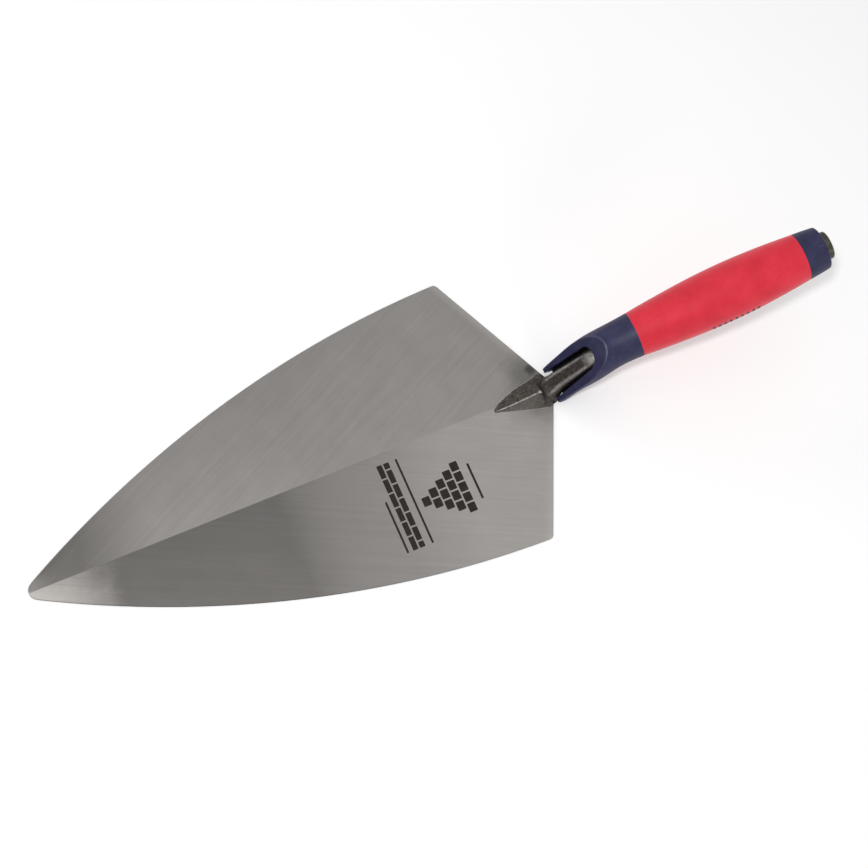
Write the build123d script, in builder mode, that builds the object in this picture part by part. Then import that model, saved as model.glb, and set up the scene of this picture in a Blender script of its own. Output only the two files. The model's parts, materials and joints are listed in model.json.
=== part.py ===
from math import cos, radians, sin
import os

from build123d import *

# Brick trowel, Philadelphia pattern, with a forged blade and a soft-grip handle.
# Millimetres. +X points to the blade's tip, +Z up, and the trowel is a mirror image about Y = 0.
# The origin is on the blade's flat underside, midway between its tip and its heel apex.

# ---- blade ----
blade_length = 305.0            # tip to heel apex, a 12 inch blade
blade_width = 158.0             # across the heel corners
heel_setback = 38.0             # heel corners stand this far in front of the heel apex
side_radius = 585.0             # each side is one long arc
tip_radius = 5.0
tip_half_angle = 29.0           # degrees, where the side arcs meet
heel_corner_radius = 3.0
ridge_heel_thickness = 2.4      # taper ground: thickest under the ridge at the heel
ridge_tip_thickness = 1.35
edge_thickness = 1.2

# ---- bolster and shank, measured from the heel apex ----
bolster_length = 37.0
bolster_peak = 9.0              # the ridge's highest point stands this far in front of the apex
bolster_height = 6.8
bolster_half_width = 12.4
bolster_skirt = 0.6             # the bolster's two flats run out this far above the underside
bolster_heel_height = 4.2       # at the heel apex the bolster is lower and narrower
bolster_heel_half_width = 10.0
bolster_nose_half_width = 0.5   # it runs out in the ridge at its front
shank_root = 2.0                # the shank's axis leaves the blade here
shank_radius = 4.4              # the tang is as thick, up to its thread
# the shank's root, flared down to the blade: distance along the shank, half-width, half-depth
root_sections = ((-3.0, 7.2, 5.0), (5.0, 6.2, 4.6), (14.0, 5.4, 4.5))
root_length = 27.0
crank_place = (19.0, 6.9)       # the bend between shank and tang: down the facet, depth behind it
crank_radius = 8.0
tang_bend = 62.0                # station where the tang comes up to the handle's axis
tang_bend_radius = 60.0

# ---- handle ----
handle_tilt = 15.93             # degrees, rising to the rear
handle_height = 35.2            # of the handle's axis above the heel apex
handle_length = 150.8           # from above the heel apex to the end of the rear collar
grip_front = 39.7               # the soft grip lies between these two stations
grip_rear = 138.0
grip_front_radius = 12.5
grip_profile = ((56.0, 14.0), (76.0, 15.3), (97.0, 15.7), (118.0, 14.9))    # station, radius
grip_rear_radius = 13.2
collar_radius = 11.9            # at the end of the rear collar
grip_tangents = ((1, 0.12), (1, -0.10))     # slopes of the outline at the grip's two ends
collar_tangents = ((1, -0.07), (1, -0.13))  # and at the rear collar's two ends
bed_start = 30.0
bed_radius = 9.6                # the core under the grip
key_ring_radius = 10.8          # rings on the bed that key the grip
key_ring_half_width = 1.5
key_ring_first = 50.0
key_ring_pitch = 15.5
key_ring_count = 6
core_edge_radius = 1.2          # round the rear collar's end
seam_gap = 0.05                 # clearance between neighbouring pieces

# ---- forked nose ----
facet_top = (21.5, 9.0)         # where the oblique facet meets the top of the handle
facet_angle = 50.0              # degrees between the facet and the handle's axis
fork_length = 51.0              # down the facet, from its top edge to the fork's tips
fork_clearance = 1.0            # the nose stops this far above the plane of the blade's underside
# the front collar bends down into the nose: station, height off the handle's axis,
# degrees below that axis, half-width, half-depth
collar_sections = (
    (grip_front, 0.0, 0.0, 12.5, 12.5),
    (29.1, -1.3, 14.0, 12.05, 12.05),
    (18.9, -5.3, 28.0, 12.4, 12.1),
    (9.9, -11.6, 42.0, 12.4, 12.0),
)
# and on to the fork's tips: distance down the facet, depth of the centre, half-width, half-depth
nose_sections = (
    (30.5, 3.0, 11.9, 11.5),
    (43.0, 2.5, 11.3, 9.5),
    (fork_length, 2.5, 10.8, 7.5),
)
trough_centre = 17.2            # centre of the trough's round end
trough_radius = 6.6
trough_mouth_half_width = 8.2
trough_rear_depth = 13.0        # the trough's floor comes up towards the fork's tips
trough_front_depth = 5.2
trough_end = fork_length + 5    # cut clear through the fork's tips
facet_edge_radius = 0.7

# ---- tang end: washer, nut and striking cap ----
thread_radius = 3.0             # M6
thread_clearance = 0.2
thread_start = 127.0
tang_end = 142.5
tang_chamfer = 0.6
pocket_floor = 132.0
pocket_radius = 7.85
washer_radius = 6.6
washer_thickness = 1.6
washer_chamfer = 0.3
nut_height = 5.0
nut_across_flats = 10.0
cap_radius = 7.8
cap_stand_out = 4.0
cap_edge_radius = 1.0
cap_skirt_start = 136.0
cap_skirt_inner_radius = 6.4
cap_crown_start = 143.5

heel_x = -blade_length / 2
tip_x = blade_length / 2
half_width = blade_width / 2
corner_x = heel_x + heel_setback

# The handle's own plane: its X runs rearward along the axis, its Y upward across it.
tilt = radians(handle_tilt)
handle_side = Plane(
    origin=(heel_x, 0, handle_height),
    x_dir=(-cos(tilt), 0, sin(tilt)),
    z_dir=(0, 1, 0),
)
handle_axis = Axis(handle_side.origin, handle_side.x_dir)


def handle_section(station):
    """The plane across the handle at a station along its axis, facing rearward."""
    return Plane(
        origin=handle_side.from_local_coords((station, 0, 0)),
        x_dir=(0, 1, 0),
        z_dir=handle_side.x_dir,
    )


# The facet's plane: its X runs down the facet from the top edge, its Z out of the facet.
facet_run = radians(facet_angle)
facet_down = handle_side.x_dir * -cos(facet_run) + handle_side.y_dir * -sin(facet_run)
facet_out = facet_down.cross(Vector(0, 1, 0))
facet = Plane(
    origin=handle_side.from_local_coords((facet_top[0], facet_top[1], 0)),
    x_dir=facet_down,
    z_dir=facet_out,
)


def collar_plane(station, height, drop):
    """The plane across the bent collar, facing down and forward along it."""
    turn = radians(drop)
    return Plane(
        origin=handle_side.from_local_coords((station, height, 0)),
        x_dir=(0, 1, 0),
        z_dir=handle_side.x_dir * -cos(turn) + handle_side.y_dir * -sin(turn),
    )


def nose_plane(distance, depth):
    """The plane across the nose at a distance down the facet and a depth behind it."""
    return Plane(origin=facet.from_local_coords((distance, 0, -depth)), x_dir=(0, 1, 0), z_dir=facet_down)


# ---- blade forging: blade, bolster, shank and tang in one piece of steel ----
shank_start = Vector(heel_x + shank_root, 0, ridge_heel_thickness)
crank = facet.from_local_coords((crank_place[0], 0, -crank_place[1]))
shank_line = (crank - shank_start).normalized()


def shank_section(distance):
    """The plane across the shank at a distance from its root."""
    return Plane(origin=shank_start + shank_line * distance, x_dir=(0, 1, 0), z_dir=shank_line)


with BuildSketch(Plane.XY) as blade_outline:
    tip_overshoot = tip_radius * (1 / sin(radians(tip_half_angle)) - 1)
    with BuildLine():
        Line((heel_x, 0), (corner_x, half_width))
        RadiusArc((corner_x, half_width), (tip_x + tip_overshoot, 0), side_radius)
        mirror(about=Plane.XZ)
    make_face()
    fillet(blade_outline.vertices().sort_by(Axis.X)[-1], tip_radius)
    fillet(blade_outline.vertices().group_by(Axis.Y)[0], heel_corner_radius)
    fillet(blade_outline.vertices().group_by(Axis.Y)[-1], heel_corner_radius)

with BuildPart() as bolster:
    with BuildSketch(Plane.YZ.offset(heel_x + bolster_length)):
        Polygon(
            (-bolster_nose_half_width, edge_thickness),
            (bolster_nose_half_width, edge_thickness),
            (0, ridge_heel_thickness),
            align=None,
        )
    with BuildSketch(Plane.YZ.offset(heel_x + bolster_peak)):
        Polygon(
            (-bolster_half_width, bolster_skirt),
            (bolster_half_width, bolster_skirt),
            (0, bolster_height),
            align=None,
        )
    with BuildSketch(Plane.YZ.offset(heel_x - 1)):
        Polygon(
            (-bolster_heel_half_width, bolster_skirt),
            (bolster_heel_half_width, bolster_skirt),
            (0, bolster_heel_height),
            align=None,
        )
    loft(ruled=True)
    extrude(blade_outline.sketch, amount=bolster_height + 1, mode=Mode.INTERSECT)

with BuildPart() as blade_forging:
    extrude(blade_outline.sketch, amount=2 * ridge_heel_thickness)
    # each half of the top is one flat, ground down from the ridge to the edge
    ridge_heel = Vector(heel_x, 0, ridge_heel_thickness)
    ridge_tip = Vector(tip_x, 0, ridge_tip_thickness)
    for side in (-1, 1):
        corner = Vector(corner_x, side * half_width, edge_thickness)
        ground_normal = (ridge_tip - ridge_heel).cross(corner - ridge_heel) * side
        split(bisect_by=Plane(origin=ridge_heel, z_dir=ground_normal), keep=Keep.BOTTOM)
    add(bolster.part)
    # flared root
    for distance, root_half_width, root_half_depth in root_sections:
        with BuildSketch(shank_section(distance)):
            Ellipse(root_half_width, root_half_depth)
    with BuildSketch(shank_section(root_length)):
        Circle(shank_radius)
    loft()
    # shank, crank and tang
    with BuildLine() as tang_path:
        FilletPolyline(
            shank_start + shank_line * root_length,
            crank,
            handle_side.from_local_coords((tang_bend, 0, 0)),
            handle_side.from_local_coords((thread_start, 0, 0)),
            radius=(crank_radius, tang_bend_radius),
        )
    with BuildSketch(shank_section(root_length)):
        Circle(shank_radius)
    sweep(path=tang_path.line)
    with BuildSketch(handle_section(thread_start)):
        Circle(thread_radius)
    extrude(amount=tang_end - thread_start)
    chamfer(blade_forging.edges().sort_by(Axis.X)[0], tang_chamfer)
    split(bisect_by=Plane.XY, keep=Keep.TOP)
blade_forging.part.label = "blade_forging"


# ---- handle core: one stiff moulding with the forked nose, the bed for the grip and the rear collar ----
def ring_profiles(clearance, mode):
    """Rectangles, in the handle's own plane, for the rings that key the grip to the core."""
    for ring in range(key_ring_count):
        with Locations((key_ring_first + ring * key_ring_pitch, bed_radius)):
            Rectangle(
                2 * (key_ring_half_width + clearance),
                2 * (key_ring_radius + clearance - bed_radius),
                mode=mode,
            )


with BuildPart() as trough:
    with BuildSketch(facet):
        with Locations((trough_centre, 0)):
            Circle(trough_radius)
        Polygon(
            (trough_centre, -trough_radius),
            (trough_end, -trough_mouth_half_width),
            (trough_end, trough_mouth_half_width),
            (trough_centre, trough_radius),
            align=None,
        )
    extrude(amount=-2 * trough_rear_depth)
    floor_rear = facet.from_local_coords((trough_centre - trough_radius, 0, -trough_rear_depth))
    floor_front = facet.from_local_coords((trough_end, 0, -trough_front_depth))
    floor_run = floor_front - floor_rear
    split(bisect_by=Plane(origin=floor_rear, z_dir=floor_run.cross(Vector(0, 1, 0))), keep=Keep.TOP)

with BuildPart() as handle_core:
    with BuildSketch(handle_side):
        with BuildLine():
            Polyline(
                (bed_start, 0),
                (bed_start, bed_radius),
                (grip_rear, bed_radius),
                (grip_rear, grip_rear_radius),
            )
            Spline(
                (grip_rear, grip_rear_radius),
                (handle_length, collar_radius),
                tangents=collar_tangents,
            )
            Polyline((handle_length, collar_radius), (handle_length, 0), (bed_start, 0))
        make_face()
        ring_profiles(0, Mode.ADD)
    revolve(axis=handle_axis)
    fillet(handle_core.edges().filter_by(GeomType.CIRCLE).group_by(Axis.X)[0], core_edge_radius)
    for station, height, drop, section_width, section_depth in collar_sections:
        with BuildSketch(collar_plane(station, height, drop)):
            Ellipse(section_width, section_depth)
    for distance, depth, section_width, section_depth in nose_sections:
        with BuildSketch(nose_plane(distance, depth)):
            Ellipse(section_width, section_depth)
    loft()
    split(bisect_by=facet, keep=Keep.BOTTOM)
    split(bisect_by=Plane.XY.offset(fork_clearance), keep=Keep.TOP)
    add(trough.part, mode=Mode.SUBTRACT)
    on_facet = handle_core.edges().filter_by(lambda edge: abs(facet.to_local_coords(edge @ 0.5).Z) < 0.01)
    fillet(on_facet, facet_edge_radius)
    # bore that follows the shank and the tang, then the pocket for washer, nut and cap
    with BuildSketch(shank_section(root_length)):
        Circle(shank_radius + seam_gap)
    sweep(path=tang_path.line, mode=Mode.SUBTRACT)
    with BuildSketch(handle_section(thread_start)):
        Circle(thread_radius + thread_clearance)
    extrude(amount=pocket_floor - thread_start, mode=Mode.SUBTRACT)
    with BuildSketch(handle_section(pocket_floor)):
        Circle(pocket_radius)
    extrude(amount=handle_length, mode=Mode.SUBTRACT)
handle_core.part.label = "handle_core"


# ---- grip sleeve: soft rubber moulded over the core's bed and keyed to its rings ----
with BuildPart() as grip_sleeve:
    with BuildSketch(handle_side):
        sleeve_front = grip_front + seam_gap
        sleeve_rear = grip_rear - seam_gap
        sleeve_bore = bed_radius + seam_gap
        with BuildLine():
            Spline(
                (sleeve_front, grip_front_radius),
                *grip_profile,
                (sleeve_rear, grip_rear_radius),
                tangents=grip_tangents,
            )
            Polyline(
                (sleeve_rear, grip_rear_radius),
                (sleeve_rear, sleeve_bore),
                (sleeve_front, sleeve_bore),
                (sleeve_front, grip_front_radius),
            )
        make_face()
        ring_profiles(seam_gap, Mode.SUBTRACT)
    revolve(axis=handle_axis)
grip_sleeve.part.label = "grip_sleeve"


# ---- tang washer: bears on the floor of the core's rear pocket ----
washer_seat = pocket_floor + seam_gap
with BuildPart() as tang_washer:
    with BuildSketch(handle_section(washer_seat)):
        Circle(washer_radius)
        Circle(thread_radius + thread_clearance, mode=Mode.SUBTRACT)
    extrude(amount=washer_thickness)
    chamfer(tang_washer.edges().filter_by(GeomType.CIRCLE).sort_by(SortBy.RADIUS)[-2:], washer_chamfer)
tang_washer.part.label = "tang_washer"


# ---- tang nut: hexagon nut that pulls the handle up on the tang ----
nut_seat = washer_seat + washer_thickness + seam_gap
with BuildPart() as tang_nut:
    with BuildSketch(handle_section(nut_seat)):
        RegularPolygon(nut_across_flats / 2, 6, major_radius=False)
        Circle(thread_radius + seam_gap, mode=Mode.SUBTRACT)
    extrude(amount=nut_height)
tang_nut.part.label = "tang_nut"


# ---- striking cap: steel plug pressed into the pocket, hollow over the nut ----
cap_end = handle_length + cap_stand_out
with BuildPart() as striking_cap:
    with BuildSketch(handle_side):
        with BuildLine():
            Polyline(
                (cap_skirt_start, cap_skirt_inner_radius),
                (cap_skirt_start, cap_radius),
                (cap_end, cap_radius),
                (cap_end, 0),
                (cap_crown_start, 0),
                (cap_crown_start, cap_skirt_inner_radius),
                close=True,
            )
        make_face()
    revolve(axis=handle_axis)
    fillet(striking_cap.edges().filter_by(GeomType.CIRCLE).group_by(Axis.X)[0], cap_edge_radius)
striking_cap.part.label = "striking_cap"


os.makedirs("parts", exist_ok=True)
for piece in (blade_forging, handle_core, grip_sleeve, tang_washer, tang_nut, striking_cap):
    export_step(piece.part, f"parts/{piece.part.label}.step")
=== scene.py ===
import json
import math

import bmesh
import bpy
from mathutils import Matrix, Vector, noise


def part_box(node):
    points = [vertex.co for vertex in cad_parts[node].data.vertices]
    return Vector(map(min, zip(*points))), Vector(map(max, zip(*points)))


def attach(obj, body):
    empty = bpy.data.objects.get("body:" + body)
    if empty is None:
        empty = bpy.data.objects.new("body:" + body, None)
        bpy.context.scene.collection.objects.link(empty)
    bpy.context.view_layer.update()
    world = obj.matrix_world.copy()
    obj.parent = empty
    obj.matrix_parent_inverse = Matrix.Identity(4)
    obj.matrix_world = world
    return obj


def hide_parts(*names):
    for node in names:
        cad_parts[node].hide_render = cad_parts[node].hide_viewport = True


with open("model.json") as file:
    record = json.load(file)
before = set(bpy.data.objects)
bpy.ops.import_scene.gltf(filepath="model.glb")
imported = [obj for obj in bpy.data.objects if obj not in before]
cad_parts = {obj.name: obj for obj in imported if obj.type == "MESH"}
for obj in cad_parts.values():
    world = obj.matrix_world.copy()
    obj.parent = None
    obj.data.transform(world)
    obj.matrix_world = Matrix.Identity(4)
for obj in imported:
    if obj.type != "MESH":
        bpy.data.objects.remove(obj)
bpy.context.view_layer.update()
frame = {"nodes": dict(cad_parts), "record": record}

# A brick trowel lying on a white floor, in metres, with +X towards the blade's tip and +Z up.
# The handle's CAD pieces stay as they are and get their materials here. Four pieces are made here: the
# ground blade and the forge-black bolster and shank, which together stand for the CAD forging, the printed
# mark on the blade and the printed bars on the grip.

MM = 0.001

# ---- the blade's sizes ----
_, blade_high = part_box("blade_forging")
TIP_X = 152.5 * MM
HEEL_X = -TIP_X
HEEL_CORNER_X = HEEL_X + 38 * MM
HALF_WIDTH = blade_high.y
RIDGE_HEEL_Z = 2.4 * MM
RIDGE_TIP_Z = 1.35 * MM
EDGE_Z = 1.2 * MM                     # of the ground top, at the heel corners
SIDE_RADIUS = 585 * MM
TIP_RADIUS = 5 * MM
TIP_HALF_ANGLE = math.radians(29)
CORNER_RADIUS = 3 * MM
CORNER_SPARE = 0.08 * MM              # the sharp corner stands this much outside the rounded one
BROKEN_EDGE = 0.22 * MM

# ---- the handle's place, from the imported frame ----
striking = next(m for m in frame["record"]["mounts"] if m["name"] == "striking_face")
HANDLE_END = Vector(striking["pos_m"])
HANDLE_REAR = Vector(striking["axis"]).normalized()     # along the handle, towards its end
HANDLE_UP = Vector((HANDLE_REAR.z, 0, -HANDLE_REAR.x))
HANDLE_LENGTH = 154.8 * MM                              # from above the heel apex to that end


def handle_point(station, height=0.0):
    """A point in the mirror plane at a station along the handle's axis and a height off it."""
    return HANDLE_END + HANDLE_REAR * (station - HANDLE_LENGTH) + HANDLE_UP * height


def clamp(value):
    """The value, held between 0 and 1."""
    return max(0.0, min(1.0, value))


def part_way(start, end, share):
    """The number that lies a share of the way from start to end."""
    return start + (end - start) * share


# the flat cut across the handle's nose, which the trough opens in
FACET_ANGLE = math.radians(50)
FACET_DOWN = HANDLE_REAR * -math.cos(FACET_ANGLE) + HANDLE_UP * -math.sin(FACET_ANGLE)
FACET_OUT = FACET_DOWN.cross(Vector((0, 1, 0)))
FACET_TOP = handle_point(21.5 * MM, 9 * MM)


def ridge_height(x):
    """Height of the blade's ridge, which runs down in a straight line from the heel apex to the tip."""
    return part_way(RIDGE_HEEL_Z, RIDGE_TIP_Z, (x - HEEL_X) / (TIP_X - HEEL_X))


def blade_top(x, y):
    """Height of the blade's ground top at a place on it."""
    fall = (ridge_height(HEEL_CORNER_X) - EDGE_Z) / HALF_WIDTH
    return ridge_height(x) - fall * abs(y)


# ---- node helpers ----
class Graph:
    """Builds one material's nodes: g("Kind", settings, Input=value or socket) adds a node.

    An input is named by its label, or by _ and its number. Colours are red, green and blue as linear light.
    """

    def __init__(self, name, **shader_inputs):
        self.material = bpy.data.materials.new(name)
        self.material.use_nodes = True
        self.tree = self.material.node_tree
        self.shader = self.tree.nodes["Principled BSDF"]
        self.set(self.shader, **shader_inputs)
        self.place = self("TexCoord").outputs["Object"]

    def set(self, node, **inputs):
        for name, value in inputs.items():
            socket = node.inputs[int(name[1:]) if name[0] == "_" else name.replace("_", " ")]
            if isinstance(value, bpy.types.NodeSocket):
                self.tree.links.new(value, socket)
            else:
                socket.default_value = value

    def __call__(self, kind, settings=None, **inputs):
        node = self.tree.nodes.new("ShaderNode" + kind)
        for name, value in (settings or {}).items():
            setattr(node, name, value)
        self.set(node, **inputs)
        return node

    # numbers
    def math(self, operation, a, b=0.0, clamped=False):
        return self("Math", {"operation": operation, "use_clamp": clamped}, _0=a, _1=b).outputs[0]

    def add(self, a, b, clamped=False):
        return self.math("ADD", a, b, clamped)

    def subtract(self, a, b):
        return self.math("SUBTRACT", a, b)

    def times(self, a, b, clamped=False):
        return self.math("MULTIPLY", a, b, clamped)

    def absolute(self, a):
        return self.math("ABSOLUTE", a)

    def length(self, x, y):
        return self.math("SQRT", self.add(self.math("POWER", x, 2.0), self.math("POWER", y, 2.0)))

    def remap(self, value, low, high, to_low=0.0, to_high=1.0, smooth=False):
        kind = {"interpolation_type": "SMOOTHSTEP" if smooth else "LINEAR", "clamp": True}
        return self("MapRange", kind, Value=value, _1=low, _2=high, _3=to_low, _4=to_high).outputs[0]

    # vectors
    def split(self, vector):
        node = self("SeparateXYZ", Vector=vector)
        return node.outputs[0], node.outputs[1], node.outputs[2]

    def join(self, x, y, z):
        return self("CombineXYZ", X=x, Y=y, Z=z).outputs[0]

    def spread(self, *densities):
        """The place, multiplied by one density in features per metre, or by one for each axis."""
        factors = densities if len(densities) == 3 else densities * 3
        return self("VectorMath", {"operation": "MULTIPLY"}, _0=self.place, _1=factors).outputs[0]

    def offset(self, point):
        """The place, measured from a point."""
        return self("VectorMath", {"operation": "SUBTRACT"}, _0=self.place, _1=point).outputs[0]

    def dot(self, a, b):
        return self("VectorMath", {"operation": "DOT_PRODUCT"}, _0=a, _1=b).outputs["Value"]

    # textures
    def noise(self, vector, detail=3.0, roughness=0.55):
        return self("TexNoise", Vector=vector, Scale=1.0, Detail=detail, Roughness=roughness).outputs["Fac"]

    def specks(self, density, inner, outer, channel, threshold):
        """Round specks in the few cells whose random colour passes a threshold in one channel."""
        cells = self("TexVoronoi", Vector=self.spread(density))
        chosen = self.math("GREATER_THAN", self.split(cells.outputs["Color"])[channel], threshold)
        return self.times(self.remap(cells.outputs["Distance"], inner, outer, 1.0, 0.0), chosen)

    # colours and relief
    def ramp(self, value, stops):
        node = self("ValToRGB", Fac=value)
        elements = node.color_ramp.elements
        for _ in range(len(stops) - 2):
            elements.new(0.5)
        for element, (place, colour) in zip(elements, stops):
            element.position = place
            element.color = (*colour, 1)
        return node.outputs["Color"]

    def mix(self, factor, a, b, blend="MIX"):
        a, b = (c if isinstance(c, bpy.types.NodeSocket) else (*c, 1) for c in (a, b))
        return self("Mix", {"data_type": "RGBA", "blend_type": blend}, _0=factor, _6=a, _7=b).outputs[2]

    def bump(self, height, strength, distance, over=None):
        node = self("Bump", Strength=strength, Distance=distance, Height=height)
        if over is not None:
            self.set(node, Normal=over)
        return node.outputs[0]


STEEL_GAIN = 0.85          # makes up for the studio's light on level steel, which is a little over 1


def grey(level, warmth=0.05):
    """A slightly warm grey as linear light, from its screen level of 0 to 255."""
    linear = ((level / 255 + 0.055) / 1.055) ** 2.4 * STEEL_GAIN
    return (linear * (1 + warmth), linear, linear * (1 - warmth * 0.9))


# ---- materials ----
# painted reflection: how light each half of the blade is painted in place of the studio's light reflected in
# it, from the heel at 0 to the tip at 1
STEEL_HIGH_Y_PAINTED_REFLECTION = [
    (0.00, grey(168)), (0.10, grey(167)), (0.24, grey(157)), (0.37, grey(133)), (0.47, grey(120)),
    (0.515, grey(110)), (0.555, grey(96)), (0.72, grey(90)), (0.85, grey(88)), (0.90, grey(117)),
    (0.96, grey(146, 0.06)), (1.00, grey(155, 0.06)),
]
STEEL_LOW_Y_PAINTED_REFLECTION = [
    (0.00, grey(150)), (0.12, grey(153)), (0.24, grey(150)), (0.50, grey(138)), (0.77, grey(130)),
    (0.83, grey(117)), (0.90, grey(98)), (0.95, grey(100)), (1.00, grey(124)),
]
FINE_STREAKS = (30, 2600)                           # features per metre, along and across a streak
BROAD_STREAKS = (9, 420)
SEAM = 0.3 * MM                                     # half the width over which the two halves blend
HEAT_PLACE, HEAT_NEAR, HEAT_FAR = HEEL_X + 8 * MM, 15 * MM, 35 * MM
STRIP_NEAR, STRIP_FAR = 1.6 * MM, 6.5 * MM          # the paler strip along each heel edge
STAIN_PLACE = (HEEL_X + 9 * MM, -13 * MM)
STAIN_NEAR, STAIN_FAR = 0.8 * MM, 4.2 * MM


def blade_steel():
    """Ground steel. Each half is ground square to its own heel edge, so streaks mirror about the ridge. Each
    half is also painted lighter or darker along the blade as a painted reflection.
    """
    g = Graph("blade_steel", Metallic=1.0, Specular_IOR_Level=0.5)
    x, y, _ = g.split(g.place)
    off_ridge = g.absolute(y)
    heel_edge = Vector((HEEL_CORNER_X - HEEL_X, HALF_WIDTH)).normalized()
    across = g.add(g.times(x, heel_edge.x), g.times(off_ridge, heel_edge.y))
    along = g.subtract(g.times(off_ridge, heel_edge.x), g.times(x, heel_edge.y))
    half = g.math("SIGN", y)

    def streaks(density, detail, roughness):
        stretched = g.join(g.times(along, density[0]), g.times(across, density[1]), half)
        return g.noise(stretched, detail, roughness)

    fine = streaks(FINE_STREAKS, 4.0, 0.65)
    broad = streaks(BROAD_STREAKS, 3.0, 0.55)
    blotch = g.noise(g.spread(55), 4.0, 0.6)

    ragged = g.add(g.times(g.subtract(blotch, 0.5), 20 * MM), g.times(g.subtract(fine, 0.5), 14 * MM))
    run = g.remap(g.add(x, ragged), HEEL_X, TIP_X)
    # painted reflection: each half gets its own lightness along the blade, in place of the light reflected in
    # it
    colour = g.mix(g.remap(y, -SEAM, SEAM), g.ramp(run, STEEL_LOW_Y_PAINTED_REFLECTION), g.ramp(run, STEEL_HIGH_Y_PAINTED_REFLECTION))

    # forge heat and scale round the bolster's foot, mostly towards -Y
    root = g.length(g.subtract(x, HEAT_PLACE), g.times(off_ridge, 0.85))
    heat = g.remap(g.add(root, g.times(blotch, 16 * MM)), HEAT_NEAR, HEAT_FAR, 0.52, 0.0, smooth=True)
    heat = g.times(heat, g.remap(y, 8 * MM, 22 * MM, 1.0, 0.35, smooth=True))
    colour = g.mix(heat, colour, grey(92))

    # a paler ground strip along each heel edge, away from the bolster
    heel_gap = g.subtract(g.times(g.subtract(x, HEEL_X), heel_edge.y), g.times(off_ridge, heel_edge.x))
    heel_gap = g.add(heel_gap, g.times(broad, 2 * MM))
    strip = g.remap(heel_gap, STRIP_NEAR, STRIP_FAR, 0.55, 0.0, smooth=True)
    strip = g.times(strip, g.remap(off_ridge, 18 * MM, 34 * MM))
    colour = g.mix(strip, colour, grey(178))

    # a heat stain by the heel edge
    stain_gap = g.length(g.subtract(x, STAIN_PLACE[0]), g.subtract(y, STAIN_PLACE[1]))
    stain_gap = g.add(stain_gap, g.times(g.subtract(broad, 0.5), 4 * MM))
    stain = g.remap(stain_gap, STAIN_NEAR, STAIN_FAR, 0.7, 0.0, smooth=True)
    colour = g.mix(stain, colour, grey(58, 0.08))

    # streaks, blotches and a few dark pits
    shade = g.add(g.remap(fine, 0.25, 0.75, 0.90, 1.10), g.remap(broad, 0.3, 0.7, -0.04, 0.04))
    shade = g.add(shade, g.remap(blotch, 0.3, 0.7, -0.045, 0.045))
    pits = g.specks(170, 0.05, 0.16, channel=0, threshold=0.93)
    shade = g.subtract(shade, g.times(pits, 0.16))
    colour = g.mix(1.0, colour, g.join(shade, shade, shade), "MULTIPLY")

    rough = g.add(g.remap(fine, 0.25, 0.75, 0.40, 0.52), g.times(heat, 0.25))
    height = g.add(g.times(fine, 0.8), g.times(pits, -0.6))
    normal = g.bump(height, 0.22, 0.02 * MM, over=g.bump(blotch, 0.10, 0.25 * MM))
    g.set(g.shader, Base_Color=colour, Roughness=rough, Normal=normal)
    return g.material


def forged_scale():
    """Dark brownish forge scale, rubbed bright on the bolster's high places, with painted highlights along
    the shank's shoulders and on its bend.
    """
    g = Graph("forged_scale", Metallic=1.0)
    mottle = g.noise(g.spread(640), 5.0, 0.7)
    grain = g.noise(g.spread(1900), 3.0, 0.6)
    x, y, _ = g.split(g.place)
    colour = g.ramp(mottle, [
        (0.30, grey(60, 0.13)), (0.48, grey(82, 0.12)), (0.62, grey(97, 0.12)), (0.78, grey(122, 0.10)),
    ])
    # the bolster's flank towards +Y was cleaned up with the blade
    ground_flank = g.times(g.remap(y, 2.4 * MM, 3.2 * MM), g.remap(x, HEEL_X + 9 * MM, HEEL_X + 18 * MM))
    colour = g.mix(g.times(ground_flank, 0.45), colour, grey(122, 0.07))
    # this attribute holds the bolster's rubbed places and the painted highlights along the shank's shoulders
    # and on its bend
    rub_and_highlight_mask = g("Attribute", {"attribute_name": "rubbed"}).outputs["Fac"]
    rub_and_highlight = g.times(rub_and_highlight_mask, g.remap(mottle, 0.32, 0.58, 0.35, 1.0), clamped=True)
    # bare steel where rubbed on the bolster, and painted highlights on the shank
    colour = g.mix(rub_and_highlight, colour, grey(215))
    colour = g.mix(g.remap(grain, 0.42, 0.32, 0.0, 0.45), colour, grey(45, 0.1))
    rough = g.subtract(g.remap(mottle, 0.3, 0.7, 0.62, 0.44), g.times(rub_and_highlight, 0.14))
    normal = g.bump(grain, 0.35, 0.06 * MM, over=g.bump(mottle, 0.45, 0.18 * MM))
    g.set(g.shader, Base_Color=colour, Roughness=rough, Normal=normal)
    return g.material


RIM_DEPTH = 0.35 * MM           # the painted highlight on the facet's rounded rim lies this much below the facet
TROUGH_HALF_WIDTH = 8.35 * MM
TROUGH_TOP = 7 * MM             # down the facet from its top


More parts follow.
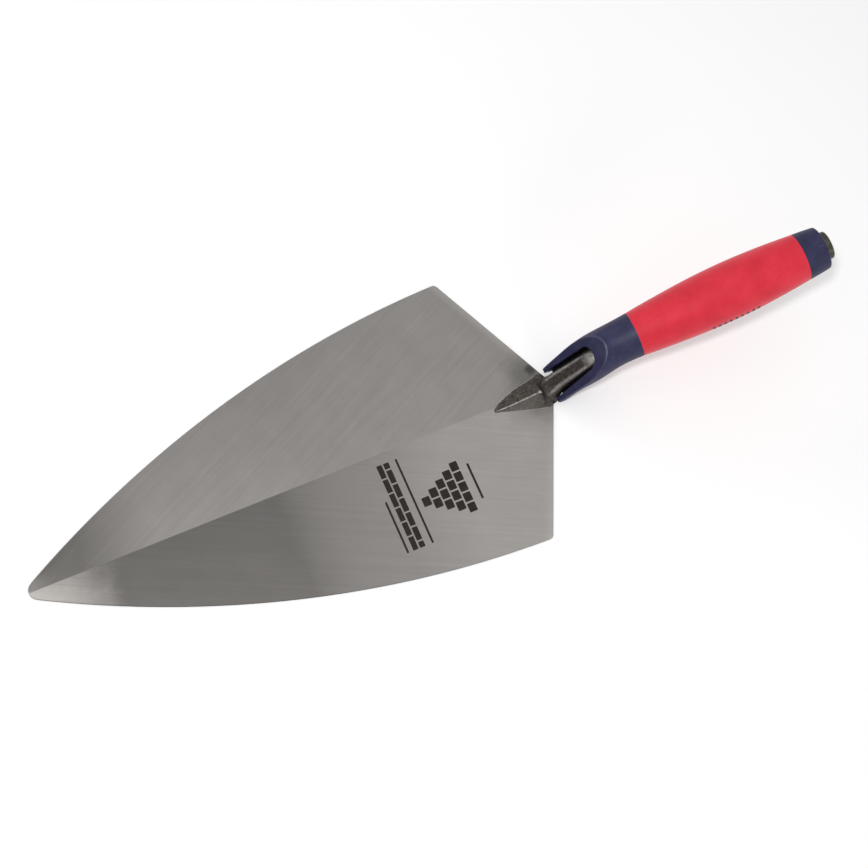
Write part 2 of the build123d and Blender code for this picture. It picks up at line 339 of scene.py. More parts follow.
def navy_plastic():
    """Satin navy moulding with a faint leather grain, dust, small scuffs, a painted highlight on the rim
    round its facet and painted shade in the trough under it.
    """
    g = Graph("navy_plastic", Specular_IOR_Level=0.30, Coat_Weight=0.05, Coat_Roughness=0.35)
    grain = g.noise(g.spread(2300), 2.0)
    cloud = g.noise(g.spread(120), 4.0, 0.6)
    streak = g.noise(g.spread(160, 1500, 700), 4.0, 0.7)
    colour = g.ramp(cloud, [
        (0.30, (0.014, 0.014, 0.050)), (0.52, (0.019, 0.019, 0.064)), (0.72, (0.029, 0.029, 0.084)),
    ])
    scuffs = g.times(g.remap(streak, 0.60, 0.74), g.remap(cloud, 0.42, 0.62))
    specks = g.specks(330, 0.06, 0.15, channel=0, threshold=0.955)
    marks = g.add(g.times(scuffs, 0.42), g.times(specks, 0.7), clamped=True)
    colour = g.mix(marks, colour, (0.20, 0.20, 0.27))

    # a painted highlight on the facet's rounded rim, strongest in the middle of the facet's top
    from_facet = g.offset(FACET_TOP)
    depth = g.dot(from_facet, FACET_OUT)
    run = g.dot(from_facet, FACET_DOWN)
    y = g.split(g.place)[1]
    rim_gap = g.absolute(g.add(depth, RIM_DEPTH))
    rim = g.remap(rim_gap, 0.10 * MM, 0.42 * MM, 1.0, 0.0, smooth=True)
    rim = g.times(rim, g.remap(run, 4 * MM, 10 * MM, 1.0, 0.1))
    rim = g.times(rim, g.remap(y, -6 * MM, 0.0, 0.3, 1.0))
    rim = g.times(rim, g.remap(y, 4 * MM, 9 * MM, 1.0, 0.3))
    rim = g.times(rim, g.remap(cloud, 0.30, 0.62, 0.45, 1.0))
    colour = g.mix(g.times(rim, 0.42), colour, (0.26, 0.27, 0.36))

    # painted shade: the trough under the facet is painted near black where shade falls in it
    inside = g.times(g.remap(depth, -0.9 * MM, -1.8 * MM), g.remap(depth, -14 * MM, -13 * MM))
    inside = g.times(inside, g.math("LESS_THAN", g.absolute(y), TROUGH_HALF_WIDTH))
    inside = g.times(inside, g.math("GREATER_THAN", run, TROUGH_TOP))
    colour = g.mix(inside, colour, (0.004, 0.004, 0.006))

    rough = g.add(g.remap(grain, 0.3, 0.7, 0.50, 0.60), g.times(marks, 0.2))
    normal = g.bump(grain, 0.16, 0.04 * MM, over=g.bump(cloud, 0.08, 0.3 * MM))
    g.set(g.shader, Base_Color=colour, Roughness=rough, Normal=normal)
    return g.material


def red_rubber():
    """Soft-touch red grip: fine matt grain, uneven colour, dust and a pale bloom at grazing angles."""
    g = Graph("red_rubber", Specular_IOR_Level=0.26, Sheen_Weight=0.25, Sheen_Roughness=0.45,
              Sheen_Tint=(1.0, 0.72, 0.74, 1), Subsurface_Weight=0.06, Subsurface_Scale=0.002,
              Subsurface_Radius=(1.0, 0.25, 0.2))
    grain = g.noise(g.spread(2600), 2.0)
    cloud = g.noise(g.spread(70), 5.0, 0.62)
    colour = g.ramp(cloud, [
        (0.30, (0.55, 0.014, 0.030)), (0.50, (0.62, 0.018, 0.038)), (0.70, (0.68, 0.028, 0.050)),
    ])
    dust = g.specks(420, 0.05, 0.12, channel=1, threshold=0.965)
    colour = g.mix(g.times(dust, 0.35), colour, (0.80, 0.30, 0.33))
    rough = g.add(g.remap(grain, 0.3, 0.7, 0.52, 0.64), g.remap(cloud, 0.3, 0.7, -0.04, 0.04))
    normal = g.bump(grain, 0.25, 0.05 * MM, over=g.bump(cloud, 0.10, 0.4 * MM))
    g.set(g.shader, Base_Color=colour, Roughness=rough, Normal=normal)
    return g.material


def dark_steel():
    """The striking cap: oiled dark steel, turned, with its face rubbed paler by tapping."""
    g = Graph("dark_steel", Metallic=1.0)
    from_end = g.offset(HANDLE_END)
    depth = g.dot(from_end, HANDLE_REAR)
    radius = g.math("SQRT", g.subtract(g.dot(from_end, from_end), g.times(depth, depth)))
    rings = g.noise(g.join(g.times(radius, 3600), g.times(depth, 3600), 0.0), 2.0)
    mottle = g.noise(g.spread(650), 5.0, 0.65)
    colour = g.ramp(mottle, [
        (0.30, (0.066, 0.061, 0.050)), (0.52, (0.082, 0.076, 0.063)), (0.72, (0.110, 0.102, 0.086)),
    ])
    face = g.times(g.remap(depth, -1.0 * MM, -0.1 * MM), g.remap(mottle, 0.35, 0.65, 0.5, 1.0))
    face = g.times(face, g.remap(rings, 0.35, 0.65, 0.5, 1.0))
    colour = g.mix(g.times(face, 0.30), colour, (0.30, 0.285, 0.25))
    normal = g.bump(rings, 0.30, 0.04 * MM, over=g.bump(mottle, 0.12, 0.06 * MM))
    g.set(g.shader, Base_Color=colour, Roughness=g.remap(mottle, 0.3, 0.7, 0.50, 0.36), Normal=normal)
    return g.material


def zinc_plate():
    """Passivated zinc on the washer and nut, with its fine spangle."""
    g = Graph("zinc_plate", Metallic=1.0)
    spangle = g("TexVoronoi", Vector=g.spread(900)).outputs["Color"]
    mottle = g.noise(g.spread(500), 4.0)
    colour = g.mix(g.remap(mottle, 0.3, 0.7), (0.46, 0.47, 0.48), (0.60, 0.60, 0.57))
    colour = g.mix(0.12, colour, spangle, "SOFT_LIGHT")
    g.set(g.shader, Base_Color=colour, Roughness=g.remap(mottle, 0.3, 0.7, 0.28, 0.42),
          Normal=g.bump(mottle, 0.2, 0.03 * MM))
    return g.material


def printed_ink(name, colour):
    """Pad-printed ink, slightly uneven and worn through in fine specks."""
    g = Graph(name, Specular_IOR_Level=0.12)
    cloud = g.noise(g.spread(600), 4.0)
    wear = g.noise(g.spread(2600), 2.0)
    pale = tuple(0.8 * c + 0.012 for c in colour)
    ink = g.mix(g.remap(cloud, 0.35, 0.7), colour, pale)
    ink = g.mix(g.remap(wear, 0.70, 0.78, 0.0, 0.4), ink, (0.20, 0.19, 0.18))
    g.set(g.shader, Base_Color=ink, Roughness=g.remap(cloud, 0.3, 0.7, 0.42, 0.58),
          Normal=g.bump(cloud, 0.2, 0.01 * MM))
    return g.material


def white_floor():
    """Matt white that glows a little, so that shadows on it stay light."""
    g = Graph("white_floor", Roughness=0.9, Specular_IOR_Level=0.1, Emission_Color=(1, 1, 1, 1),
              Emission_Strength=0.11)
    cloud = g.noise(g.spread(6), 2.0)
    g.set(g.shader, Base_Color=g.mix(cloud, (0.86, 0.86, 0.86), (0.88, 0.88, 0.88)))
    return g.material


# ---- mesh helpers ----
def mesh_object(name, bm, material):
    """A smooth-shaded object made from a bmesh."""
    bmesh.ops.recalc_face_normals(bm, faces=bm.faces)
    data = bpy.data.meshes.new(name)
    bm.to_mesh(data)
    bm.free()
    data.shade_smooth()
    data.materials.append(material)
    piece = bpy.data.objects.new(name, data)
    bpy.context.scene.collection.objects.link(piece)
    return piece


def add_rings(bm, rings):
    """Joins rings of points into a closed skin, with a cap at each end."""
    loops = [[bm.verts.new(p) for p in ring] for ring in rings]
    for a, b in zip(loops, loops[1:]):
        for i in range(len(a)):
            j = (i + 1) % len(a)
            bm.faces.new((a[i], a[j], b[j], b[i]))
    bm.faces.new(loops[0])
    bm.faces.new(loops[-1])


def on_circle(centre, radius, angle):
    return centre + Vector((math.cos(angle), math.sin(angle))) * radius


def relief(point, layers):
    """Height of a noise relief. A layer is its density, its depth in mm and a shift that sets it apart."""
    return sum(noise.noise(point * density + Vector(shift)) * depth for density, depth, shift in layers) * MM


# ---- the blade ----
HEEL_STEPS = 34
SIDE_STEPS = 110
ROUND_STEPS = 8            # in each rounded corner and in half the tip
GROUND_COLUMNS = 30        # of faces, from the ridge to the edge
GROUND_SPREAD = 26         # bumps of the uneven ground top in a metre
GROUND_RELIEF = [(1.0, 0.03, (0, 0, 0)), (2.7, 0.012, (3, 1, 5))]
MERGE_DISTANCE, SLIVER = 0.004 * MM, 0.001 * MM
BLADE_SHARP_ANGLE = math.radians(28)


def blade_outline():
    """Half of the blade's outline, from its heel apex by the corner to the tip, as points."""
    apex = Vector((HEEL_X, 0))
    corner = Vector((HEEL_CORNER_X, HALF_WIDTH + CORNER_SPARE))
    sharp_tip = Vector((TIP_X + TIP_RADIUS * (1 / math.sin(TIP_HALF_ANGLE) - 1), 0))
    chord = sharp_tip - corner
    inward = Vector((chord.y, -chord.x)).normalized()
    centre = (corner + sharp_tip) / 2 + inward * math.sqrt(SIDE_RADIUS ** 2 - (chord.length / 2) ** 2)
    start = math.atan2(corner.y - centre.y, corner.x - centre.x)
    end = math.atan2(sharp_tip.y - centre.y, sharp_tip.x - centre.x)
    heel_line = [apex.lerp(corner, i / HEEL_STEPS) for i in range(HEEL_STEPS)]
    side_arc = [on_circle(centre, SIDE_RADIUS, start + (end - start) * i / SIDE_STEPS)
                for i in range(SIDE_STEPS + 1)]

    # the arcs of the corner and the tip take the place of the points within their reach
    heel_way = (corner - apex).normalized()
    side_way = (side_arc[1] - corner).normalized()
    half_angle = (-heel_way).angle(side_way) / 2
    reach = CORNER_RADIUS / math.tan(half_angle)
    first = corner - heel_way * reach
    last = corner + side_way * reach
    round_centre = corner + (side_way - heel_way).normalized() * (CORNER_RADIUS / math.sin(half_angle))
    round_start = math.atan2(first.y - round_centre.y, first.x - round_centre.x)
    round_end = math.atan2(last.y - round_centre.y, last.x - round_centre.x)
    tip_centre = Vector((TIP_X - TIP_RADIUS, 0))
    tip_start = math.pi / 2 - TIP_HALF_ANGLE
    side_end_x = tip_centre.x + TIP_RADIUS * math.sin(TIP_HALF_ANGLE) - 0.5 * MM

    points = [p for p in heel_line if (p - corner).length > reach]
    points.append(first)
    for i in range(1, ROUND_STEPS):
        angle = round_start + (round_end - round_start) * i / ROUND_STEPS
        points.append(on_circle(round_centre, CORNER_RADIUS, angle))
    points.append(last)
    points += [p for p in side_arc if (p - corner).length > reach and p.x < side_end_x]
    for i in range(ROUND_STEPS + 1):
        points.append(on_circle(tip_centre, TIP_RADIUS, tip_start * (1 - i / ROUND_STEPS)))
    points[-1].y = 0
    return points


def ridge_points(outline):
    """The point on the ridge that each outline point's row of faces starts from."""
    run = [0.0]
    for a, b in zip(outline, outline[1:]):
        run.append(run[-1] + (b - a).length)
    points = []
    for share in (length / run[-1] for length in run):
        # the rows lean like the heel edge at first and close up on the tip
        along_ridge = 0.35 * share ** 0.8 + 0.65 * share ** 2
        points.append(Vector((part_way(HEEL_X, TIP_X, along_ridge), 0)))
    return points


def blade_row(bm, ridge, edge, side):
    """One row of vertices: out over the ground top from the ridge to the edge, down it and back below."""
    gap = ridge - edge
    inner = edge + gap.normalized() * BROKEN_EDGE if gap.length > BROKEN_EDGE else edge
    row = []
    for j in range(GROUND_COLUMNS + 1):
        share = j / GROUND_COLUMNS
        x, y = ridge.lerp(inner, share)
        uneven = relief(Vector((x * GROUND_SPREAD, y * side * GROUND_SPREAD, 0.0)), GROUND_RELIEF)
        fade = min(1, 8 * (1 - share)) * min(1, share * 4)      # to nothing at the edge and on the ridge
        row.append(bm.verts.new((x, y * side, blade_top(x, y) + uneven * fade)))
    row.append(bm.verts.new((edge.x, edge.y * side, blade_top(edge.x, edge.y) - BROKEN_EDGE)))
    row.append(bm.verts.new((edge.x, edge.y * side, BROKEN_EDGE)))
    row.append(bm.verts.new((inner.x, inner.y * side, 0)))
    row.append(bm.verts.new((ridge.x, 0, 0)))
    return row


def blade(material):
    """The ground blade: two flats that meet in the ridge, over a flat underside, with its edges broken."""
    bm = bmesh.new()
    outline = blade_outline()
    ridges = ridge_points(outline)
    for side in (-1, 1):
        rows = [blade_row(bm, ridge, edge, side) for ridge, edge in zip(ridges, outline)]
        for a, b in zip(rows, rows[1:]):
            for j in range(len(a) - 1):
                bm.faces.new((a[j], a[j + 1], b[j + 1], b[j]))
    bmesh.ops.remove_doubles(bm, verts=bm.verts, dist=MERGE_DISTANCE)
    bmesh.ops.dissolve_degenerate(bm, edges=bm.edges, dist=SLIVER)
    plate = mesh_object("blade", bm, material)
    plate.data.set_sharp_from_angle(angle=BLADE_SHARP_ANGLE)
    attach(plate, "root")
    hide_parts("blade_forging")


# ---- the forged bolster and shank ----
# the bolster, in mm: distance forward of the heel apex, y of its foot on either side, y and z of its crest.
# It was struck a little off the blade's middle.
BOLSTER = [
    (2.2, -4.6, 5.6, 1.2, 4.0), (3.4, -7.0, 8.0, 1.5, 4.6), (4.6, -8.9, 10.2, 1.7, 5.0),
    (6.5, -9.0, 11.2, 1.8, 5.2), (8.2, -8.7, 11.0, 1.9, 5.5), (9.8, -8.4, 10.8, 1.9, 6.8),
    (12.0, -7.9, 10.3, 2.0, 6.7), (16.0, -7.1, 9.3, 2.2, 6.2), (24.5, -5.2, 6.8, 2.5, 4.9),
    (31.0, -2.8, 4.9, 2.5, 3.8), (35.5, -1.0, 3.5, 2.4, 2.9), (38.0, 0.9, 2.9, 2.2, 2.5),
]
BOLSTER_SECTIONS = 84
FLANK_STEPS = 16
FLANK_HOLLOW = 0.07                  # of the flank's height
FOOT_LIFT = 0.08 * MM                # above the blade's top
CREST_BLUNT = 0.05 * MM
BOLSTER_BOTTOM = 0.5 * MM            # inside the blade's thickness
FACE_END, CREST_START = 8.8, 9.2     # in mm from the heel apex: the shank's seat, then the crest
SPOT_PLACE, SPOT_REACH = 10.2, 1.1   # in mm: the bright start of the crest
# the shank, in mm: distance along it from its root, half-width, half-depth
SHANK = [
    (-4.0, 8.2, 6.4), (-1.5, 7.6, 6.2), (0.5, 6.7, 5.7), (3.0, 6.1, 5.1), (7.0, 5.7, 4.7),
    (14.0, 5.5, 4.5), (22.0, 5.5, 4.5), (29.0, 5.45, 4.6), (33.0, 5.4, 4.7),
]
SHANK_ROOT = Vector((HEEL_X + 2 * MM, 0, RIDGE_HEEL_Z))
SHANK_CRANK = FACET_TOP + FACET_DOWN * (19 * MM) - FACET_OUT * (6.9 * MM)
TANG_INSIDE = handle_point(44 * MM, -5.0 * MM)
SHANK_BURIED = 4 * MM                # how far the shank starts below its root
CRANK_BEND = 3.6 * MM
CRANK_STEPS = 12
TANG_STEPS = 24
SHANK_STEP = 0.55 * MM
SHANK_SIDES = 72
ROOT_SWAY = 1.5 * MM                 # the shank's root follows the bolster off the middle
SWAY_LENGTH = 12 * MM
WIDE_POWER, DEEP_POWER = 0.88, 0.80  # a little squarer than an ellipse, as a hammered bar is
KNUCKLE_Z, KNUCKLE_HEIGHT = 28.5 * MM, 4 * MM
FORGE_RELIEF = [(210, 0.11, (0, 0, 0)), (620, 0.05, (7, 3, 1)), (1500, 0.03, (2, 9, 4))]
NECK_LOWEST = 0.4 * MM               # so that no dent comes out under the blade
NECK_SHARP_ANGLE = math.radians(50)
# how bright each place is made, from 0 for scale to 1 for bare steel: rubbed on the bolster, painted
# highlights on the shank
FOOT_SHINE, CREST_SIDE_SHINE, CREST_SHINE = 0.75, 0.10, 0.8
SHOULDER_PAINTED_HIGHLIGHT, KNUCKLE_PAINTED_HIGHLIGHT = 0.8, 0.6
FACE_DIMMING = 0.3
SHOULDER_PLACE, SHOULDER_REACH = 0.62, 1.3     # of the half-width, and in mm to either side of that
SHINE_START, SHINE_RISE = -1, 5                # in mm along the shank: its root stays dull


def between_rows(table, place):
    """The rest of a table's row at a place in its first column, smoothly between the rows given."""
    last = len(table) - 1
    i = max(0, min(last - 1, sum(row[0] <= place for row in table) - 1))
    share = (place - table[i][0]) / (table[i + 1][0] - table[i][0])
    values = []
    for p0, p1, p2, p3 in zip(table[max(i - 1, 0)], table[i], table[i + 1], table[min(i + 2, last)]):
        values.append(0.5 * (2 * p1 + (p2 - p0) * share + (2 * p0 - 5 * p1 + 4 * p2 - p3) * share ** 2
                             + (3 * p1 - p0 - 3 * p2 + p3) * share ** 3))
    return values[1:]


def shank_course():
    """Centre, direction and distance from the root of each section, up the shank and round the crank."""
    shank = (SHANK_CRANK - SHANK_ROOT).normalized()
    tang = (TANG_INSIDE - SHANK_CRANK).normalized()
    reach = (SHANK_CRANK - SHANK_ROOT).length
    course = []
    for i in range(int((reach - CRANK_BEND + SHANK_BURIED) / SHANK_STEP) + 1):
        distance = i * SHANK_STEP - SHANK_BURIED
        course.append((SHANK_ROOT + shank * distance, shank, distance))
    for i in range(1, CRANK_STEPS):
        turn = i / CRANK_STEPS
        centre = SHANK_CRANK - shank * (CRANK_BEND * (1 - turn) ** 2) + tang * (CRANK_BEND * turn ** 2)
        course.append((centre, shank.lerp(tang, turn).normalized(), reach))
    for i in range(TANG_STEPS):
        course.append((SHANK_CRANK + tang * (CRANK_BEND + i * SHANK_STEP), tang, reach))
    return course


def shank_skin():
    """Sections of the shank and the tang's start, and how bright each point is painted, as highlights along
    the shoulders and on the bend.
    """
    rings, bright = [], []
    for centre, direction, distance in shank_course():
        half_width, half_depth = between_rows(SHANK, min(distance / MM, SHANK[-1][0]))
        up = Vector((0, 1, 0)).cross(direction)
        sway = ROOT_SWAY * clamp(1 - (distance + SHANK_BURIED) / SWAY_LENGTH)
        above_root = clamp((distance / MM - SHINE_START) / SHINE_RISE)
        ring, shine = [], []
        for k in range(SHANK_SIDES):
            angle = 2 * math.pi * k / SHANK_SIDES
            wide = math.copysign(abs(math.cos(angle)) ** WIDE_POWER, math.cos(angle)) * half_width
            deep = math.copysign(abs(math.sin(angle)) ** DEEP_POWER, math.sin(angle)) * half_depth
            point = centre + Vector((0, wide * MM + sway, 0)) + up * (deep * MM)
            # painted highlights along both upper shoulders and on the bend at the top, which faces up
            shoulder = clamp(1 - abs(abs(wide) - SHOULDER_PLACE * half_width) / SHOULDER_REACH)
            knuckle = clamp((point.z - KNUCKLE_Z) / KNUCKLE_HEIGHT)
            rub_and_highlight = max(SHOULDER_PAINTED_HIGHLIGHT * shoulder * above_root, KNUCKLE_PAINTED_HIGHLIGHT * knuckle)
            ring.append(point)
            shine.append(rub_and_highlight if math.sin(angle) > 0 else 0.0)
        rings.append(ring)
        bright.append(shine)
    return rings, bright


def flank(x, foot_y, crest_y, crest_z):
    """Points up one side of the bolster, from inside the blade by the foot to just short of the crest."""
    foot_z = blade_top(x, foot_y) + FOOT_LIFT
    points = [Vector((x, foot_y, BOLSTER_BOTTOM))]
    for k in range(FLANK_STEPS):
        share = k / FLANK_STEPS
        hollow = FLANK_HOLLOW * (crest_z - foot_z) * math.sin(math.pi * share)
        y = part_way(foot_y, crest_y, share)
        points.append(Vector((x, y, part_way(foot_z, crest_z, share) - hollow)))
    return points


def bolster_skin():
    """Sections of the bolster: two flanks that meet in a blunt crest, and how bright each point is rubbed."""
    rings, bright = [], []
    start, end = BOLSTER[0][0], BOLSTER[-1][0]
    for i in range(BOLSTER_SECTIONS + 1):
        distance = part_way(start, end, i / BOLSTER_SECTIONS)
        x = HEEL_X + distance * MM
        low_y, high_y, crest_y, crest_z = (v * MM for v in between_rows(BOLSTER, distance))
        crest = [Vector((x, crest_y, crest_z - CREST_BLUNT))]
        rings.append(flank(x, low_y, crest_y, crest_z) + crest + flank(x, high_y, crest_y, crest_z)[::-1])
        spot = clamp(1 - abs(distance - SPOT_PLACE) / SPOT_REACH)
        flank_shine = [0.0, FOOT_SHINE] + [0.0] * (FLANK_STEPS - 2) + [part_way(CREST_SIDE_SHINE, 1, spot)]
        crest_shine = [part_way(CREST_SHINE, 1, spot) if distance > CREST_START else 0.0]
        strength = FACE_DIMMING if distance < FACE_END else 1.0
        bright.append([v * strength for v in flank_shine + crest_shine + flank_shine[::-1]])
    return rings, bright


def forged_neck(material):
    """Bolster and shank as forged, dented by the hammer. Its attribute "rubbed" says where it is bright:
    rubbed on the bolster, painted highlights on the shank.
    """
    bm = bmesh.new()
    rubbed = bm.verts.layers.float.new("rubbed")
    for rings, bright in (shank_skin(), bolster_skin()):
        first = len(bm.verts)
        add_rings(bm, rings)
        bm.verts.ensure_lookup_table()
        for i, value in enumerate(v for row in bright for v in row):
            bm.verts[first + i][rubbed] = value
    bmesh.ops.recalc_face_normals(bm, faces=bm.faces)
    bm.normal_update()
    moves = [vertex.normal * relief(vertex.co, FORGE_RELIEF) for vertex in bm.verts]
    for vertex, move in zip(bm.verts, moves):
        vertex.co += move
        vertex.co.z = max(vertex.co.z, NECK_LOWEST)
    neck = mesh_object("forged_neck", bm, material)
    neck.data.set_sharp_from_angle(angle=NECK_SHARP_ANGLE)
    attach(neck, "root")
    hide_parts("blade_forging")


# ---- the printed mark on the blade ----
INK_SINK = 0.02 * MM                 # how deep in the steel an ink plate starts
INK_HEIGHT = 0.03 * MM               # how far it stands out of it
PLATE_ARC_STEPS = 4
# plain rules, in mm: x from and to, y from and to
MARK_RULES = [(-37.9, -36.7, 26, 56), (-52.6, -51.4, 6, 56), (-88.3, -87.0, 23, 44)]
RULE_CORNER = 0.3 * MM
JOINT = 0.9 * MM                     # between bricks
BAND_LOW_Y, BAND_HIGH_Y = 6 * MM, 56 * MM
BAND_FRONT_COURSE = (-43.5 * MM, -40.4 * MM)
BAND_REAR_COURSE = (-47.6 * MM, -44.4 * MM)
BAND_BRICK, BAND_HALF_BRICK, BAND_CORNER = 7.6 * MM, 3.4 * MM, 0.35 * MM
STACK_X, STACK_Y = -82.5 * MM, 34 * MM
STACK_COURSES = 5
STACK_COURSE_HEIGHT, STACK_BRICK, STACK_CORNER = 4.6 * MM, 5.2 * MM, 0.5 * MM


def add_plate(bm, x_low, x_high, y_low, y_high, corner):
    """A thin ink plate with rounded corners, lying on the blade's ground top."""
    outline = []
    for cx, cy, start in ((x_high - corner, y_high - corner, 0), (x_low + corner, y_high - corner, 90),
                          (x_low + corner, y_low + corner, 180), (x_high - corner, y_low + corner, 270)):
        for i in range(PLATE_ARC_STEPS + 1):
            angle = math.radians(start + 90 * i / PLATE_ARC_STEPS)
            outline.append((cx + corner * math.cos(angle), cy + corner * math.sin(angle)))
    low = [bm.verts.new((x, y, blade_top(x, y) - INK_SINK)) for x, y in outline]
    high = [bm.verts.new((x, y, blade_top(x, y) + INK_HEIGHT)) for x, y in outline]
    bm.faces.new(high)
    bm.faces.new(list(reversed(low)))
    for i in range(len(outline)):
        j = (i + 1) % len(outline)
        bm.faces.new((low[i], low[j], high[j], high[i]))


def add_course(bm, x_low, x_high, y_start, y_end, brick, corner):
    """One course of bricks of equal length between two ends."""
    count = max(1, round((y_end - y_start + JOINT) / (brick + JOINT)))
    pitch = (y_end - y_start + JOINT) / count
    for i in range(count):
        y = y_start + i * pitch
        add_plate(bm, x_low, x_high, y, y + pitch - JOINT, corner)


def blade_mark(material):
    """A generic mark with no lettering: plain rules, a band of brickwork and a stepped stack of bricks."""
    bm = bmesh.new()
    for rule in MARK_RULES:
        add_plate(bm, *(v * MM for v in rule), RULE_CORNER)
    # the band: two courses in running bond
    add_course(bm, *BAND_FRONT_COURSE, BAND_LOW_Y, BAND_HIGH_Y, BAND_BRICK, BAND_CORNER)
    inner_low = BAND_LOW_Y + BAND_HALF_BRICK
    inner_high = BAND_HIGH_Y - BAND_HALF_BRICK
    add_plate(bm, *BAND_REAR_COURSE, BAND_LOW_Y, inner_low, BAND_CORNER)
    add_course(bm, *BAND_REAR_COURSE, inner_low + JOINT, inner_high - JOINT, BAND_BRICK, BAND_CORNER)
    add_plate(bm, *BAND_REAR_COURSE, inner_high, BAND_HIGH_Y, BAND_CORNER)
    # the stack: each course is one brick shorter than the course below
    for course in range(STACK_COURSES):
        x_low = STACK_X + course * (STACK_COURSE_HEIGHT + JOINT)
        half = ((STACK_COURSES - course) * (STACK_BRICK + JOINT) - JOINT) / 2
        add_course(bm, x_low, x_low + STACK_COURSE_HEIGHT, STACK_Y - half, STACK_Y + half,
                   STACK_BRICK, STACK_CORNER)
    mark = mesh_object("blade_mark", bm, material)
    mark.data.shade_flat()
    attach(mark, "root")


# ---- the printed bars on the grip ----
BARS = 9
BAR_STEPS = 10
BAR_FIRST = 80 * MM                  # station of the first bar
BAR_PITCH = 3.3 * MM
BAR_THICK = 1.5 * MM
BAR_SLANT = 1.2 * MM
BAR_TOP_ANGLE = 10                   # in degrees, above straight out to the side
BAR_SWEEP = 38                       # in degrees round the grip, downwards
BAR_LIFT, BAR_SINK = 0.06 * MM, 0.5 * MM
GRIP_INNER_RADIUS = 11.5 * MM        # the grip's bore lies inside this radius and its outside beyond it


def grip_radius(station):
    """The grip's outer radius at a station, read off the CAD grip."""
    best, radius = 1.0, 0.0
    for vertex in frame["nodes"]["grip_sleeve"].data.vertices:
        offset = vertex.co - HANDLE_END
        gap = abs(offset.dot(HANDLE_REAR) + HANDLE_LENGTH - station)
        from_axis = (offset - HANDLE_REAR * offset.dot(HANDLE_REAR)).length
        if from_axis > GRIP_INNER_RADIUS and gap < best:
            best, radius = gap, from_axis
    return radius


def grip_marks(material):
    """A plain row of slanted bars printed on the side of the grip."""
    bm = bmesh.new()
    for bar in range(BARS):
        top, bottom = [], []
        for i in range(BAR_STEPS + 1):
            share = i / BAR_STEPS
            angle = math.radians(BAR_TOP_ANGLE - BAR_SWEEP * share)
            around = Vector((0, math.cos(angle), 0)) + HANDLE_UP * math.sin(angle)
            middle = BAR_FIRST + bar * BAR_PITCH + BAR_SLANT * (share - 0.5)
            thick = BAR_THICK * (1 - 0.5 * abs(2 * share - 1) ** 6)     # narrower at both ends
            for station in (middle - thick / 2, middle + thick / 2):
                radius = grip_radius(station)
                top.append(bm.verts.new(handle_point(station) + around * (radius + BAR_LIFT)))
                bottom.append(bm.verts.new(handle_point(station) + around * (radius - BAR_SINK)))
        for i in range(BAR_STEPS):
            a, b, c, d = 2 * i, 2 * i + 1, 2 * i + 3, 2 * i + 2
            bm.faces.new((top[a], top[b], top[c], top[d]))
            bm.faces.new((bottom[d], bottom[c], bottom[b], bottom[a]))
            bm.faces.new((top[a], top[d], bottom[d], bottom[a]))
            bm.faces.new((top[c], top[b], bottom[b], bottom[c]))
        bm.faces.new((top[1], top[0], bottom[0], bottom[1]))
        bm.faces.new((top[-2], top[-1], bottom[-1], bottom[-2]))
    marks = mesh_object("grip_marks", bm, material)
    marks.data.shade_flat()
    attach(marks, "root")


# ---- the pieces ----
def paint(node, material):
    """Gives a CAD piece its material."""
    piece = frame["nodes"][node]
    piece.data.materials.clear()
    piece.data.materials.append(material)


steel = blade_steel()
navy = navy_plastic()
zinc = zinc_plate()
paint("blade_forging", steel)
paint("handle_core", navy)
paint("grip_sleeve", red_rubber())
paint("tang_washer", zinc)
paint("tang_nut", zinc)
paint("striking_cap", dark_steel())
blade(steel)
forged_neck(forged_scale())
blade_mark(printed_ink("blade_ink", (0.016, 0.012, 0.010)))
grip_marks(printed_ink("grip_ink", (0.020, 0.018, 0.050)))

# ---- floor, light and camera ----
FLOOR_HALF = 3.0
FLOOR_STEPS = 8
FLOOR_DROP = 0.05 * MM
# name, place, what it is aimed at, width and height, power in watts
SOFTBOXES = [
    ("softbox_over", (-0.25, -0.35, 1.5), (-0.05, 0, 0), (1.3, 1.3), 2),
    ("softbox_left", (0.2, -1.4, 0.9), (-0.1, 0, 0), (1.0, 0.6), 2.5),
    ("softbox_right", (-0.6, 1.5, 0.8), (-0.1, 0, 0), (1.0, 0.5), 3.5),
    ("softbox_front", (0.14, 0.112, 0.84), (-0.05, 0, 0), (0.06, 0.06), 3.2),
]
WORLD_STRENGTH = 0.56
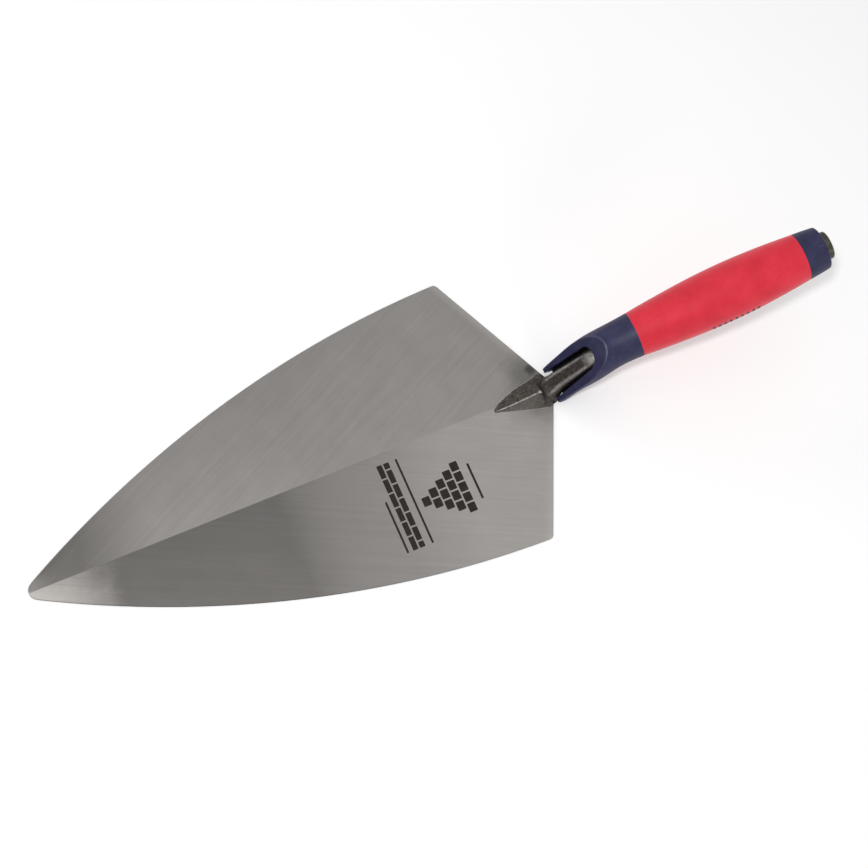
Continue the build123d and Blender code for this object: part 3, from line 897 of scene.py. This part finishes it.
# the camera stands high over the blade's tip, off to its +Y side, and looks down on the whole trowel
CAMERA_PLACE = (0.1476, 0.1751, 0.8323)
CAMERA_RIGHT = Vector((-0.898159, 0.410498, 0.157488))
CAMERA_UP = Vector((-0.357057, -0.890010, 0.283536))
SENSOR_WIDTH, FOCAL_LENGTH = 36, 66.5     # in mm


def floor():
    """A level white floor just under the blade."""
    bm = bmesh.new()
    ticks = [-FLOOR_HALF + 2 * FLOOR_HALF * i / FLOOR_STEPS for i in range(FLOOR_STEPS + 1)]
    grid = [[bm.verts.new((x, y, 0)) for x in ticks] for y in ticks]
    for a, b in zip(grid, grid[1:]):
        for i in range(FLOOR_STEPS):
            bm.faces.new((a[i], a[i + 1], b[i + 1], b[i]))
    plane = mesh_object("floor", bm, white_floor())
    plane.location.z = -FLOOR_DROP


def softbox(name, place, aim, size, power):
    light = bpy.data.lights.new(name, "AREA")
    light.shape = "RECTANGLE"
    light.size, light.size_y = size
    light.energy = power
    lamp = bpy.data.objects.new(name, light)
    lamp.location = place
    lamp.rotation_mode = "QUATERNION"
    lamp.rotation_quaternion = (Vector(aim) - Vector(place)).to_track_quat("-Z", "Y")
    bpy.context.scene.collection.objects.link(lamp)


floor()
for box in SOFTBOXES:
    softbox(*box)

world = bpy.data.worlds.new("studio")
world.use_nodes = True
world.node_tree.nodes["Background"].inputs["Color"].default_value = (1, 1, 1, 1)
world.node_tree.nodes["Background"].inputs["Strength"].default_value = WORLD_STRENGTH
scene = bpy.context.scene
scene.world = world
scene.view_settings.view_transform = "Standard"

lens = bpy.data.cameras.new("camera")
lens.sensor_width = SENSOR_WIDTH
lens.lens = FOCAL_LENGTH
lens.clip_start = 0.01
camera = bpy.data.objects.new("camera", lens)
camera_axes = Matrix((CAMERA_RIGHT, CAMERA_UP, CAMERA_RIGHT.cross(CAMERA_UP))).transposed()
camera.matrix_world = Matrix.Translation(CAMERA_PLACE) @ camera_axes.to_4x4()
scene.collection.objects.link(camera)
scene.camera = camera
